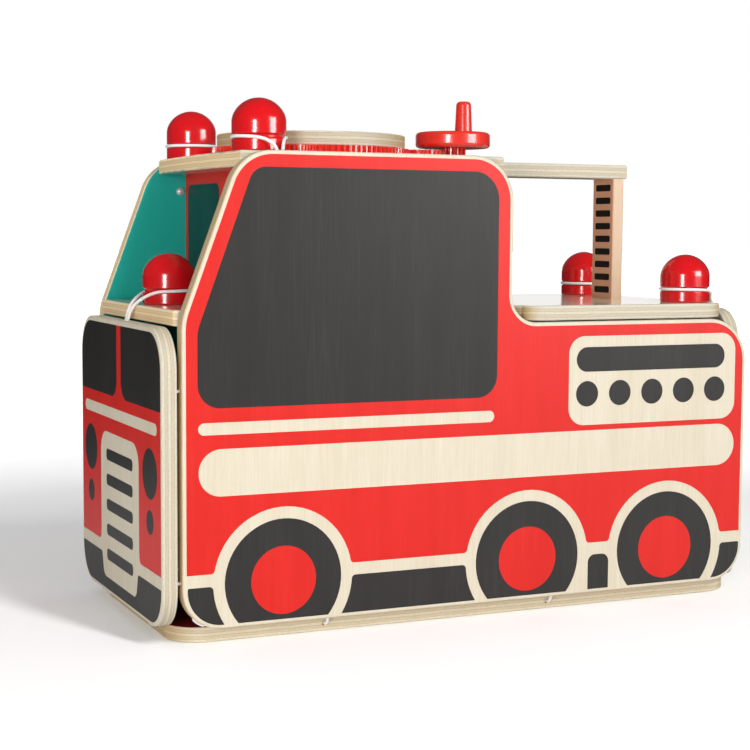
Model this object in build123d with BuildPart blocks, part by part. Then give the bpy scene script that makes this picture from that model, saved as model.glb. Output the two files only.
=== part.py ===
from build123d import *
import os
from math import acos, atan2, cos, pi, radians, sin, sqrt, tan

os.makedirs("parts", exist_ok=True)

# A wooden toy fire truck that unfolds into a three-storey fire station
# x runs along the truck with its front at -x, y across it with the near side at -y, z up
# The origin lies on the table, under the middle of the whole toy

# Boards and the gaps between them
board = 11.0
base_length = 460.0
base_width = 190.0
base_corner = 24.0
edge_round = 1.5
join_gap = 0.5
hinge_lift = 0.2
cut_overrun = 1.0

# Side panels, the two long walls of the truck
side_setback = 2.5
side_tail_setback = 2.0
cab_length = 249.0
roof_top = 335.0
windscreen_foot = 221.0
windscreen_lean = 42.3
foot_radius = 28.0
tail_radius = 33.0
notch_radius = 20.0
cab_rear_radius = 32.0
cab_front_radius = 32.0
waist_radius = 40.0

# Front and rear panels
front_corner = 28.0
rear_rise = 5.5
rear_corner = 22.0
rear_foot_corner = 8.0

# Floors, deck and roof
deck_underside = 216.5
deck_gap = 1.0
deck_front_setback = 1.0
deck_tail_setback = 16.5
deck_corner = 4.0
shoulder_corner = 12.0
floor_front_setback = 14.0
floor_corner = 8.0
roof_front_setback = 48.0
roof_bow = 4.0
roof_tail_inset = 2.0
arm_width = 30.0
arm_tail_setback = 54.5
arm_root_radius = 8.0
post_inset = 3.0
post_width = 31.0
post_thickness = 10.0

# Cross walls, two placed from the base's front edge and one from its rear edge
front_wall_place = 69.5
middle_wall_place = 230.5
rear_wall_setback = 64.0
doorway_width = 62.0
doorway_share = 0.78
tenon_width = 30.0
tenon_depth = 5.0
tenon_spread = 100.0
tenon_clearance = 0.1
post_tenon_width = 18.0

# Knobs: turned domes with a groove for the elastic
knob_diameter = 38.0
knob_height = 37.0
flange_height = 8.3
flange_round = 1.2
groove_width = 3.5
groove_round = 0.5
knob_side_height = 8.4
knob_shoulder = 13.5
spigot_diameter = 10.0
spigot_length = 8.0
spigot_clearance = 0.05
roof_knob_place = 68.3
front_knob_place = 26.5
rear_knob_setback = 38.5
knob_inset = 31.0

# Elastic loops and cord ends
cord_diameter = 2.3
cord_clearance = 0.3
loop_hole_diameter = 5.8
loop_hole_depth = 14.0
loop_hole_shift = 6.5
loop_clearance = 0.2
roof_strand_rise = 2.6
front_strand_rise = 6.6
rear_strand_rise = 3.2
strand_bend = 3.0
shoulder_bend = 6.0
wrap_share = 0.98
cord_sides = 8
cord_end_reach = 2.7
cord_end_depth = 8.0
cord_end_heights = (44.0, 174.0)
stitch_angles = (228.0, 246.0)
stitch_bend = 2.0

# Hinge cords: rings threaded through the base and a panel's foot
ring_radius = 5.5
ring_sides = 6
channel_clearance = 0.4
side_ring_places = (110.0, 290.0)
end_ring_spread = 110.0

# Gears on the roof
gear_module = 1.4
helipad_teeth = 104
idler_teeth = 26
pinion_teeth = 13
addendum_share = 0.85
dedendum_share = 1.1
backlash_share = 0.12
pressure_angle = 20.0
gear_gap = 0.4
helipad_gear_height = 6.0
idler_height = 7.5
pinion_height = 10.0
helipad_place = 137.2
helipad_diameter = 140.0
helipad_thickness = 10.0
helipad_edge = 1.0

# Crank and axle screws
crank_diameter = 58.0
crank_thickness = 12.0
crank_round = 3.0
peg_offset = 18.0
peg_foot_diameter = 13.2
peg_top_diameter = 11.2
peg_height = 22.6
peg_round = 3.0
peg_spigot_diameter = 8.0
peg_spigot_length = 7.0
screw_diameter = 5.0
screw_clearance = 0.08
screw_bite = 8.0
head_diameter = 11.0
head_height = 2.4
head_gap = 0.3
recess_clearance = 0.6
recess_depth = 3.2

# Round-headed screws on the side panels' inner faces
button_place = 65.5
button_height = 311.0
button_diameter = 6.5
button_rise = 2.2
button_shank_diameter = 3.2
button_shank_length = 7.0

# Places worked out from the sizes above
ring_outer = ring_radius + cord_diameter / 2
front_reach = base_length / 2 + join_gap + board
rear_reach = base_length / 2 + ring_outer
base_middle = (front_reach - rear_reach) / 2
base_front = base_middle - base_length / 2
base_rear = base_middle + base_length / 2
side_front = base_front + side_setback
side_rear = base_rear - side_tail_setback
cab_rear = side_front + cab_length
side_inner = base_width / 2 + join_gap
side_outer = side_inner + board
panel_foot = board + join_gap
body_top = deck_underside - deck_gap
deck_top = deck_underside + board
roof_underside = roof_top - board
inner_width = base_width - 2 * join_gap
front_top = deck_underside - join_gap
rear_top = deck_underside + rear_rise
storey = (deck_underside - 2 * board) / 2
first_underside = board + storey
first_top = first_underside + board
front_inner = base_front - join_gap
front_outer = front_inner - board
rear_inner = base_rear - board
hinge_height = board + hinge_lift
front_wall_x = base_front + front_wall_place
middle_wall_x = base_front + middle_wall_place
rear_wall_x = base_rear - rear_wall_setback
wall_places = (front_wall_x, middle_wall_x, rear_wall_x)
cab_wall_places = (front_wall_x, middle_wall_x)
arm_tip = base_rear - arm_tail_setback
post_front = arm_tip - post_inset - post_thickness
cord_radius = cord_diameter / 2
knob_y = side_outer - knob_inset
roof_knob_x = base_front + roof_knob_place
front_knob_x = base_front + front_knob_place
rear_knob_x = base_rear - rear_knob_setback
groove_height = flange_height + groove_width / 2
loop_radius = knob_diameter / 2 - groove_width / 2 + loop_clearance + cord_radius
helipad_radius = gear_module * helipad_teeth / 2
idler_radius = gear_module * idler_teeth / 2
pinion_radius = gear_module * pinion_teeth / 2
helipad_x = base_front + helipad_place
idler_x = helipad_x + helipad_radius + idler_radius
crank_x = idler_x + idler_radius + pinion_radius
gear_foot = roof_top + gear_gap
helipad_foot = gear_foot + helipad_gear_height
helipad_top = helipad_foot + helipad_thickness
idler_top = gear_foot + idler_height
crank_foot = gear_foot + pinion_height
crank_top = crank_foot + crank_thickness


def finish(name, solid):
    """Label a finished piece and write it to its own file."""
    solid.label = name
    export_step(solid, f"parts/{name}.step")


def round_corners(outline, corners, radii):
    """Round the corners of a flat outline, each given along and up its own plane."""
    for corner, radius in zip(corners, radii):
        nearest = outline.vertices().sort_by_distance(Vector(corner[0], corner[1], 0))[0]
        fillet(nearest, radius)


def round_faces(solid, axis):
    """Round the edges of a board's two broad faces, which are square to an axis."""
    faces = solid.faces().sort_by(axis)
    fillet(faces[0].edges() + faces[-1].edges(), edge_round)


def tenon_slots(face_height, places, depth):
    """Cut the slots that walls stand in, down from a height for a positive depth, up for a negative one."""
    slot_length = tenon_width + 2 * tenon_clearance
    slot_width = board + 2 * tenon_clearance
    with BuildSketch(Plane.XY.offset(face_height)) as slots:
        for place in places:
            with Locations((place + board / 2, tenon_spread / 2), (place + board / 2, -tenon_spread / 2)):
                Rectangle(slot_width, slot_length)
    extrude(slots.sketch, amount=-depth, mode=Mode.SUBTRACT)


def post_slot(face_height, depth):
    """Cut the slot that the ladder post stands in."""
    with BuildSketch(Plane.XY.offset(face_height)) as slot:
        with Locations((post_front + post_thickness / 2, 0)):
            Rectangle(post_thickness + 2 * tenon_clearance, post_tenon_width + 2 * tenon_clearance)
    extrude(slot.sketch, amount=-depth, mode=Mode.SUBTRACT)


def round_holes(face_height, centres, diameter, depth):
    """Drill round holes down from a height."""
    with BuildSketch(Plane.XY.offset(face_height)) as holes:
        with Locations(*centres):
            Circle(diameter / 2)
    extrude(holes.sketch, amount=-depth, mode=Mode.SUBTRACT)


def ring_planes(along_x, hinge_x, hinge_y, places):
    """Give the planes of the hinge rings, each square to its hinge line."""
    planes = []
    for place in places:
        if along_x:
            planes.append(Plane((place, hinge_y, hinge_height), x_dir=(0, 1, 0), z_dir=(1, 0, 0)))
        else:
            planes.append(Plane((hinge_x, place, hinge_height), x_dir=(1, 0, 0), z_dir=(0, -1, 0)))
    return planes


side_ring_x = [base_front + place for place in side_ring_places]
end_ring_y = (-end_ring_spread / 2, end_ring_spread / 2)
near_rings = ring_planes(True, 0, -side_inner, side_ring_x)
far_rings = ring_planes(True, 0, side_inner, side_ring_x)
front_rings = ring_planes(False, front_inner, 0, end_ring_y)
rear_rings = ring_planes(False, base_rear, 0, end_ring_y)


def ring_channels(planes):
    """Cut the round channels that the hinge rings run in."""
    half_width = cord_radius + channel_clearance
    for plane in planes:
        with BuildSketch(plane.offset(-half_width)) as channel:
            Circle(ring_radius + half_width)
            Circle(ring_radius - half_width, mode=Mode.SUBTRACT)
        extrude(channel.sketch, amount=2 * half_width, mode=Mode.SUBTRACT)


# Base board, with slots for the ground floor walls and channels for the hinge rings
with BuildPart() as base_board:
    with BuildSketch(Plane.XY):
        with Locations((base_middle, 0)):
            RectangleRounded(base_length, base_width, base_corner)
    extrude(amount=board)
    round_faces(base_board, Axis.Z)
    tenon_slots(board, wall_places, tenon_depth)
    ring_channels(near_rings + far_rings + front_rings + rear_rings)
finish("base_board", base_board.part)

# First floor, half way up to the deck
floor_rear = base_rear - deck_tail_setback
floor_front = base_front + floor_front_setback
with BuildPart() as first_floor:
    with BuildSketch(Plane.XY.offset(first_underside)):
        with Locations(((floor_front + floor_rear) / 2, 0)):
            RectangleRounded(floor_rear - floor_front, inner_width, floor_corner)
    extrude(amount=board)
    tenon_slots(first_top, wall_places, tenon_depth)
    tenon_slots(first_underside, wall_places, -tenon_depth)
finish("first_floor", first_floor.part)

# Deck, the second floor: narrow between the side panels of the cab, wide on top of them behind it
notch_reach = notch_radius - sqrt(notch_radius**2 - (notch_radius - deck_gap) ** 2)
deck_shoulder = cab_rear + notch_reach + join_gap
deck_front = base_front + deck_front_setback
deck_rear = base_rear - deck_tail_setback
deck_knobs = [(front_knob_x, 0), (rear_knob_x, -knob_y), (rear_knob_x, knob_y)]
with BuildPart() as deck:
    with BuildSketch(Plane.XY.offset(deck_underside)) as deck_plan:
        with Locations(((deck_front + deck_rear) / 2, 0)):
            Rectangle(deck_rear - deck_front, inner_width)
        with Locations(((deck_shoulder + deck_rear) / 2, 0)):
            Rectangle(deck_rear - deck_shoulder, 2 * side_outer)
        wide_corners = deck_plan.vertices().filter_by(lambda v: abs(v.Y) > side_inner)
        fillet(wide_corners.group_by(Axis.X)[0], shoulder_corner)
        end_corners = deck_plan.vertices().group_by(Axis.X)
        fillet(end_corners[0] + end_corners[-1], deck_corner)
    extrude(amount=board)
    round_faces(deck, Axis.Z)
    tenon_slots(deck_underside, wall_places, -tenon_depth)
    tenon_slots(deck_top, cab_wall_places, tenon_depth)
    post_slot(deck_top, tenon_depth)
    round_holes(deck_top, deck_knobs, spigot_diameter + 2 * spigot_clearance, spigot_length + join_gap)
finish("deck", deck.part)

# Roof, with a bowed front edge and the arm that reaches back to the ladder post
roof_front = base_front + roof_front_setback
roof_rear = cab_rear - roof_tail_inset
roof_knobs = [(roof_knob_x, -knob_y), (roof_knob_x, knob_y)]
roof_axles = [(helipad_x, 0), (idler_x, 0), (crank_x, 0)]
with BuildPart() as roof:
    with BuildSketch(Plane.XY.offset(roof_underside)) as roof_plan:
        with BuildLine():
            front_edge = ThreePointArc(
                (roof_front, -inner_width / 2), (roof_front - roof_bow, 0), (roof_front, inner_width / 2)
            )
            Polyline(
                front_edge @ 1,
                (roof_rear, inner_width / 2),
                (roof_rear, arm_width / 2),
                (arm_tip, arm_width / 2),
                (arm_tip, -arm_width / 2),
                (roof_rear, -arm_width / 2),
                (roof_rear, -inner_width / 2),
                front_edge @ 0,
            )
        make_face()
        arm_corners = roof_plan.vertices().filter_by(lambda v: abs(v.Y) < arm_width)
        fillet(arm_corners.group_by(Axis.X)[0], arm_root_radius)
    extrude(amount=board)
    round_faces(roof, Axis.Z)
    tenon_slots(roof_underside, cab_wall_places, -tenon_depth)
    post_slot(roof_underside, -tenon_depth)
    round_holes(roof_top, roof_knobs, spigot_diameter + 2 * spigot_clearance, spigot_length + join_gap)
    round_holes(roof_top, roof_axles, screw_diameter + 2 * screw_clearance, screw_bite + join_gap)
finish("roof", roof.part)


def make_wall(name, place, foot, top, with_doorway):
    """A cross wall that stands in the floor below and holds up the one above by its tenons."""
    middle = (foot + top) / 2
    with BuildPart() as wall:
        with BuildSketch(Plane.YZ.offset(place)):
            with Locations((0, middle)):
                Rectangle(inner_width, top - foot)
            with Locations((tenon_spread / 2, middle), (-tenon_spread / 2, middle)):
                Rectangle(tenon_width, top - foot + 2 * tenon_depth - 2 * tenon_clearance)
            if with_doorway:
                arch_radius = doorway_width / 2
                arch_height = doorway_share * (top - foot) - arch_radius
                with Locations((0, foot + arch_height / 2)):
                    Rectangle(doorway_width, arch_height, mode=Mode.SUBTRACT)
                with Locations((0, foot + arch_height)):
                    Circle(arch_radius, mode=Mode.SUBTRACT)
        extrude(amount=board)
    finish(name, wall.part)


# Cross walls of the three storeys
for wall_name, wall_x in zip(("front", "middle", "rear"), wall_places):
    make_wall(f"ground_wall_{wall_name}", wall_x, board, first_underside, True)
    make_wall(f"first_wall_{wall_name}", wall_x, first_top, deck_underside, True)
make_wall("cab_wall_front", front_wall_x, deck_top, roof_underside, False)
make_wall("cab_wall_rear", middle_wall_x, deck_top, roof_underside, True)

# Ladder post under the tip of the arm
post_middle = (deck_top + roof_underside) / 2
post_height = roof_underside - deck_top
with BuildPart() as ladder_post:
    with BuildSketch(Plane.YZ.offset(post_front)):
        with Locations((0, post_middle)):
            Rectangle(post_width, post_height)
            Rectangle(post_tenon_width, post_height + 2 * tenon_depth - 2 * tenon_clearance)
    extrude(amount=post_thickness)
    long_edges = ladder_post.edges().filter_by(Axis.Z).group_by(SortBy.LENGTH)[-1]
    fillet(long_edges, edge_round)
finish("ladder_post", ladder_post.part)


def cord_end_planes(middle_y, depth):
    """Planes square to the cord ends in a side panel's front edge, at a depth inside it."""
    planes = []
    for height in cord_end_heights:
        planes.append(Plane((side_front + depth, middle_y, height), x_dir=(0, 1, 0), z_dir=(-1, 0, 0)))
    return planes


def stitch_points(middle_y, depth):
    """The corners of the stitch: out of a side panel's round lower corner, along it and back in."""
    first, last = stitch_angles
    corners = [(first, depth), (first, 0), (last, 0), (last, depth)]
    points = []
    for angle, sunk in corners:
        x = side_front + foot_radius + (foot_radius - sunk) * cos(radians(angle))
        z = panel_foot + foot_radius + (foot_radius - sunk) * sin(radians(angle))
        points.append((x, middle_y, z))
    return points


def make_side_panel(name, side, rings, loop_x):
    """A long side of the truck. Side is -1 for the near one and 1 for the far one."""
    outline = [
        (side_front, panel_foot),
        (side_rear, panel_foot),
        (side_rear, body_top),
        (cab_rear, body_top),
        (cab_rear, roof_top),
        (side_front + windscreen_lean, roof_top),
        (side_front, windscreen_foot),
    ]
    radii = [
        foot_radius,
        foot_radius,
        tail_radius,
        notch_radius,
        cab_rear_radius,
        cab_front_radius,
        waist_radius,
    ]
    inner_y = side * side_inner
    middle_y = side * (side_inner + board / 2)
    with BuildPart() as panel:
        with BuildSketch(Plane.XZ.offset(-inner_y)) as profile:
            with BuildLine():
                Polyline(*outline, close=True)
            make_face()
            round_corners(profile, outline, radii)
        extrude(amount=-side * board)
        round_faces(panel, Axis.Y)
        ring_channels(rings)
        round_holes(roof_top, [(loop_x, middle_y)], loop_hole_diameter, loop_hole_depth)
        hole_depth = cord_end_depth + join_gap
        for plane in cord_end_planes(middle_y, hole_depth):
            with BuildSketch(plane):
                Circle(cord_radius + cord_clearance)
            extrude(amount=hole_depth + cut_overrun, mode=Mode.SUBTRACT)
        points = stitch_points(middle_y, hole_depth)
        with BuildLine():
            FilletPolyline(*points, radius=stitch_bend)
        with BuildSketch(Plane(points[0], z_dir=Vector(*points[1]) - Vector(*points[0]))):
            Circle(cord_radius + cord_clearance)
        sweep(mode=Mode.SUBTRACT)
        with BuildSketch(Plane.XZ.offset(-inner_y)):
            with Locations((base_front + button_place, button_height)):
                Circle(button_shank_diameter / 2 + spigot_clearance)
        extrude(amount=-side * (button_shank_length + join_gap), mode=Mode.SUBTRACT)
    finish(name, panel.part)


loop_x = roof_knob_x + loop_hole_shift
make_side_panel("near_panel", -1, near_rings, loop_x)
make_side_panel("far_panel", 1, far_rings, loop_x)


def make_cord_ends(name, side):
    """The white cord ends in a side panel's front edge, and the stitch in its round lower corner."""
    middle_y = side * (side_inner + board / 2)
    with BuildPart() as ends:
        for plane in cord_end_planes(middle_y, cord_end_depth):
            with BuildSketch(plane):
                Circle(cord_radius)
            extrude(amount=cord_end_depth + cord_end_reach)
        points = stitch_points(middle_y, cord_end_depth)
        with BuildLine():
            FilletPolyline(*points, radius=stitch_bend)
        with BuildSketch(Plane(points[0], z_dir=Vector(*points[1]) - Vector(*points[0]))):
            RegularPolygon(cord_radius, cord_sides)
        sweep()
    finish(name, ends.part)


make_cord_ends("near_cord_ends", -1)
make_cord_ends("far_cord_ends", 1)


def make_button(name, side):
    """A round-headed screw in a side panel's inner face."""
    centre = (base_front + button_place, side * side_inner, button_height)
    with BuildPart() as button:
        with BuildSketch(Plane(centre, x_dir=(1, 0, 0), z_dir=(0, 0, -side))):
            with BuildLine():
                Polyline(
                    (0, button_rise),
                    (0, -button_shank_length),
                    (button_shank_diameter / 2, -button_shank_length),
                    (button_shank_diameter / 2, 0),
                    (button_diameter / 2, 0),
                )
                TangentArc((0, button_rise), (button_diameter / 2, 0), tangent=(1, 0))
            make_face()
        revolve(axis=Axis(centre, (0, 1, 0)))
    finish(name, button.part)


make_button("near_button", -1)
make_button("far_button", 1)

# Front panel, outside the base's front edge and as wide as the whole truck
with BuildPart() as front_panel:
    with BuildSketch(Plane.YZ.offset(front_outer)):
        with Locations((0, (panel_foot + front_top) / 2)):
            RectangleRounded(2 * side_outer, front_top - panel_foot, front_corner)
    extrude(amount=board)
    round_faces(front_panel, Axis.X)
    ring_channels(front_rings)
    round_holes(front_top, [(front_outer + board / 2, 0)], loop_hole_diameter, loop_hole_depth)
finish("front_panel", front_panel.part)

# Rear panel, which stands on the base between the side panels
rear_holes = [(rear_inner + board / 2, -knob_y), (rear_inner + board / 2, knob_y)]
rear_outline = [
    (-inner_width / 2, panel_foot),
    (inner_width / 2, panel_foot),
    (inner_width / 2, rear_top),
    (-inner_width / 2, rear_top),
]
rear_radii = [rear_foot_corner, rear_foot_corner, rear_corner, rear_corner]
with BuildPart() as rear_panel:
    with BuildSketch(Plane.YZ.offset(rear_inner)) as rear_profile:
        with BuildLine():
            Polyline(*rear_outline, close=True)
        make_face()
        round_corners(rear_profile, rear_outline, rear_radii)
    extrude(amount=board)
    round_faces(rear_panel, Axis.X)
    ring_channels(rear_rings)
    round_holes(rear_top, rear_holes, loop_hole_diameter, loop_hole_depth)
finish("rear_panel", rear_panel.part)


def make_hinge_cords(name, planes):
    """The cord rings that tie one panel's foot to the base, each round its hinge line."""
    with BuildPart() as rings:
        for plane in planes:
            with BuildSketch(Plane(plane.origin, x_dir=plane.x_dir, z_dir=plane.y_dir)):
                with Locations((ring_radius, 0)):
                    RegularPolygon(cord_radius, ring_sides)
            revolve(axis=Axis(plane.origin, plane.z_dir))
    finish(name, rings.part)


make_hinge_cords("near_hinge_cords", near_rings)
make_hinge_cords("far_hinge_cords", far_rings)
make_hinge_cords("front_hinge_cords", front_rings)
make_hinge_cords("rear_hinge_cords", rear_rings)


def make_knob(name, x, y, seat):
    """A turned knob: spigot, flange, groove and dome about one upright axis."""
    radius = knob_diameter / 2
    groove_top = flange_height + groove_width
    side_top = groove_top + knob_side_height
    shoulder_x = radius - knob_shoulder
    shoulder_drop = knob_height - side_top
    crown = (shoulder_x**2 + shoulder_drop**2 - knob_shoulder**2) / (2 * (shoulder_drop - knob_shoulder))
    crown_turn = atan2(shoulder_x, crown - shoulder_drop)
    meet_x = crown * sin(crown_turn)
    meet_height = knob_height - crown + crown * cos(crown_turn)
    rims = [(radius, 0), (radius, flange_height), (radius, groove_top)]
    with BuildPart() as knob:
        with BuildSketch(Plane((x, y, seat), x_dir=(1, 0, 0), z_dir=(0, -1, 0))) as profile:
            with BuildLine():
                Polyline(
                    (0, knob_height),
                    (0, -spigot_length),
                    (spigot_diameter / 2, -spigot_length),
                    (spigot_diameter / 2, 0),
                    (radius, 0),
                    (radius, flange_height),
                )
                ThreePointArc(
                    (radius, flange_height),
                    (radius - groove_width / 2, groove_height),
                    (radius, groove_top),
                )
                Line((radius, groove_top), (radius, side_top))
                TangentArc((radius, side_top), (meet_x, meet_height), tangent=(0, 1))
                TangentArc((0, knob_height), (meet_x, meet_height), tangent=(1, 0))
            make_face()
            round_corners(profile, rims, [flange_round, groove_round, groove_round])
        revolve(axis=Axis((x, y, seat), (0, 0, 1)))
    finish(name, knob.part)


make_knob("front_knob", front_knob_x, 0, deck_top)
make_knob("roof_knob_near", roof_knob_x, -knob_y, roof_top)
make_knob("roof_knob_far", roof_knob_x, knob_y, roof_top)
make_knob("rear_knob_near", rear_knob_x, -knob_y, deck_top)
make_knob("rear_knob_far", rear_knob_x, knob_y, deck_top)


def loop_route(hole, hole_top, rise, knob, seat):
    """A loop's corners and radii: out of its hole, over the flange, round the groove and back."""
    hole_x, hole_y = hole
    knob_x, knob_y_place = knob
    reach = sqrt((hole_x - knob_x) ** 2 + (hole_y - knob_y_place) ** 2)
    heading = atan2(hole_y - knob_y_place, hole_x - knob_x)
    strand_shift = cord_radius + loop_clearance / 2
    strand_reach = sqrt(reach**2 + strand_shift**2)
    first_touch = atan2(strand_shift, reach) + acos(loop_radius / strand_reach)
    wrap_step = (2 * pi - 2 * first_touch) / 4
    corner_radius = loop_radius / cos(wrap_step / 2)
    edge_radius = knob_diameter / 2 + cord_radius + cord_clearance
    edge_run = sqrt(edge_radius**2 - loop_radius**2)
    level = seat + groove_height

    def place(along, across, height):
        """A point given along and across the line from the knob to the hole."""
        x = knob_x + along * cos(heading) - across * sin(heading)
        y = knob_y_place + along * sin(heading) + across * cos(heading)
        return (x, y, height)

    touch = (loop_radius * cos(first_touch), loop_radius * sin(first_touch))
    edge = (touch[0] + edge_run * sin(first_touch), touch[1] - edge_run * cos(first_touch))
    points = [
        place(reach, strand_shift, hole_top - loop_hole_depth + join_gap),
        place(reach, strand_shift, hole_top + rise),
        place(edge[0], edge[1], level),
    ]
    for step in range(4):
        angle = first_touch + (step + 0.5) * wrap_step
        points.append(place(corner_radius * cos(angle), corner_radius * sin(angle), level))
    points += [
        place(edge[0], -edge[1], level),
        place(reach, -strand_shift, hole_top + rise),
        place(reach, -strand_shift, hole_top - loop_hole_depth + join_gap),
    ]
    wrap_radii = [loop_radius * wrap_share] * 4
    radii = [strand_bend, shoulder_bend] + wrap_radii + [shoulder_bend, strand_bend]
    return points, radii


def make_loop(name, hole, hole_top, rise, knob, seat):
    """An elastic loop from a hole in a panel's top edge round a knob's groove."""
    points, radii = loop_route(hole, hole_top, rise, knob, seat)
    with BuildPart() as loop:
        with BuildLine() as route:
            FilletPolyline(*points, radius=radii)
        with BuildSketch(Plane(points[0], z_dir=(0, 0, 1))):
            RegularPolygon(cord_radius, cord_sides)
        sweep()
    print(name, "length", round(route.wire().length, 1), "volume", round(loop.part.volume, 1))
    finish(name, loop.part)


side_middle = side_inner + board / 2
front_hole = (front_outer + board / 2, 0)
make_loop("near_loop", (loop_x, -side_middle), roof_top, roof_strand_rise, roof_knobs[0], roof_top)
make_loop("far_loop", (loop_x, side_middle), roof_top, roof_strand_rise, roof_knobs[1], roof_top)
make_loop("front_loop", front_hole, front_top, front_strand_rise, deck_knobs[0], deck_top)
make_loop("rear_loop_near", rear_holes[0], rear_top, rear_strand_rise, deck_knobs[1], deck_top)
make_loop("rear_loop_far", rear_holes[1], rear_top, rear_strand_rise, deck_knobs[2], deck_top)


def tooth_half_angle(teeth, radius):
    """Half the angle that an involute tooth takes up at a radius."""
    pitch_radius = gear_module * teeth / 2
    base_radius = pitch_radius * cos(radians(pressure_angle))
    pitch_half = pi * (1 - backlash_share) / 2 / teeth
    pitch_involute = tan(radians(pressure_angle)) - radians(pressure_angle)
    if radius <= base_radius:
        return pitch_half + pitch_involute
    turn = acos(base_radius / radius)
    return pitch_half + pitch_involute - (tan(turn) - turn)


def gear_points(teeth, flank_steps, first_tooth):
    """Corners of a gear's outline, with each flank in a few steps from root to tip."""
    pitch_radius = gear_module * teeth / 2
    root = pitch_radius - dedendum_share * gear_module
    tip = pitch_radius + addendum_share * gear_module
    flank = []
    for step in range(flank_steps + 1):
        radius = root + (tip - root) * step / flank_steps
        flank.append((radius, tooth_half_angle(teeth, radius)))
    points = []
    for tooth in range(teeth):
        middle = first_tooth + 2 * pi * tooth / teeth
        for radius, half in flank:
            points.append((radius * cos(middle - half), radius * sin(middle - half)))
        for radius, half in reversed(flank):
            points.append((radius * cos(middle + half), radius * sin(middle + half)))
    return points


def toothed_wheel(teeth, flank_steps, first_tooth, x, height):
    """Draw and extrude a gear with its bore, standing just clear of the roof."""
    with BuildSketch(Plane((x, 0, gear_foot), x_dir=(1, 0, 0), z_dir=(0, 0, 1))) as outline:
        with BuildLine():
            Polyline(*gear_points(teeth, flank_steps, first_tooth), close=True)
        make_face()
        Circle(screw_diameter / 2 + screw_clearance, mode=Mode.SUBTRACT)
    extrude(outline.sketch, amount=height)


def head_recess(x, top):
    """Sink a recess for an axle's head into the top face at a height."""
    with BuildSketch(Plane((x, 0, top), x_dir=(1, 0, 0), z_dir=(0, 0, 1))) as recess:
        Circle(head_diameter / 2 + recess_clearance)
    extrude(recess.sketch, amount=-recess_depth, mode=Mode.SUBTRACT)


def turned_disc(x, foot, diameter, thickness, edge_round):
    """A disc with rounded edges and a bore."""
    disc_plane = Plane((x, 0, foot), x_dir=(1, 0, 0), z_dir=(0, 0, 1))
    with BuildSketch(disc_plane) as rim:
        Circle(diameter / 2)
    disc = extrude(rim.sketch, amount=thickness)
    fillet(disc.edges().filter_by(GeomType.CIRCLE), edge_round)
    with BuildSketch(disc_plane) as bore:
        Circle(screw_diameter / 2 + screw_clearance)
    extrude(bore.sketch, amount=thickness, mode=Mode.SUBTRACT)
    head_recess(x, foot + thickness)


# The gear train: crank pinion, small gear and helipad gear in one row along the roof
with BuildPart() as helipad_gear:
    toothed_wheel(helipad_teeth, 1, 0, helipad_x, helipad_gear_height)
finish("helipad_gear", helipad_gear.part)

with BuildPart() as idler_gear:
    toothed_wheel(idler_teeth, 2, pi / idler_teeth, idler_x, idler_height)
    head_recess(idler_x, idler_top)
finish("idler_gear", idler_gear.part)

with BuildPart() as crank_pinion:
    toothed_wheel(pinion_teeth, 2, pi, crank_x, pinion_height)
finish("crank_pinion", crank_pinion.part)

with BuildPart() as helipad_disc:
    turned_disc(helipad_x, helipad_foot, helipad_diameter, helipad_thickness, helipad_edge)
finish("helipad_disc", helipad_disc.part)

with BuildPart() as crank_disc:
    turned_disc(crank_x, crank_foot, crank_diameter, crank_thickness, crank_round)
    with BuildSketch(Plane((crank_x, -peg_offset, crank_top), x_dir=(1, 0, 0), z_dir=(0, 0, 1))):
        Circle(peg_spigot_diameter / 2 + spigot_clearance)
    extrude(amount=-peg_spigot_length - join_gap, mode=Mode.SUBTRACT)
finish("crank_disc", crank_disc.part)

# Crank peg, a tapered pin with a round top and a spigot in the disc
peg_foot = (crank_x, -peg_offset, crank_top)
with BuildPart() as crank_peg:
    with BuildSketch(Plane(peg_foot, x_dir=(1, 0, 0), z_dir=(0, -1, 0))) as peg_profile:
        with BuildLine():
            Polyline(
                (0, peg_height),
                (0, -peg_spigot_length),
                (peg_spigot_diameter / 2, -peg_spigot_length),
                (peg_spigot_diameter / 2, 0),
                (peg_foot_diameter / 2, 0),
                (peg_top_diameter / 2, peg_height),
                close=True,
            )
        make_face()
        fillet(peg_profile.vertices().group_by(Axis.Y)[-1].sort_by(Axis.X)[-1], peg_round)
    revolve(axis=Axis(peg_foot, (0, 0, 1)))
finish("crank_peg", crank_peg.part)


def make_axle(name, x, top):
    """A screw that a gear turns on: its head lies in the recess below a height, its tip in the roof."""
    head_foot = top - recess_depth + head_gap
    tip = roof_top - screw_bite
    with BuildPart() as axle:
        with BuildSketch(Plane((x, 0, head_foot), x_dir=(1, 0, 0), z_dir=(0, -1, 0))):
            with BuildLine():
                Polyline(
                    (0, head_height),
                    (0, tip - head_foot),
                    (screw_diameter / 2, tip - head_foot),
                    (screw_diameter / 2, 0),
                    (head_diameter / 2, 0),
                )
                TangentArc((0, head_height), (head_diameter / 2, 0), tangent=(1, 0))
            make_face()
        revolve(axis=Axis((x, 0, head_foot), (0, 0, 1)))
    finish(name, axle.part)


make_axle("helipad_axle", helipad_x, helipad_top)
make_axle("idler_axle", idler_x, idler_top)
make_axle("crank_axle", crank_x, crank_top)
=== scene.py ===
from math import acos, atan2, ceil, cos, degrees, pi, radians, sin, sqrt, tan

import bpy
from mathutils import Matrix, Vector


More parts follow.
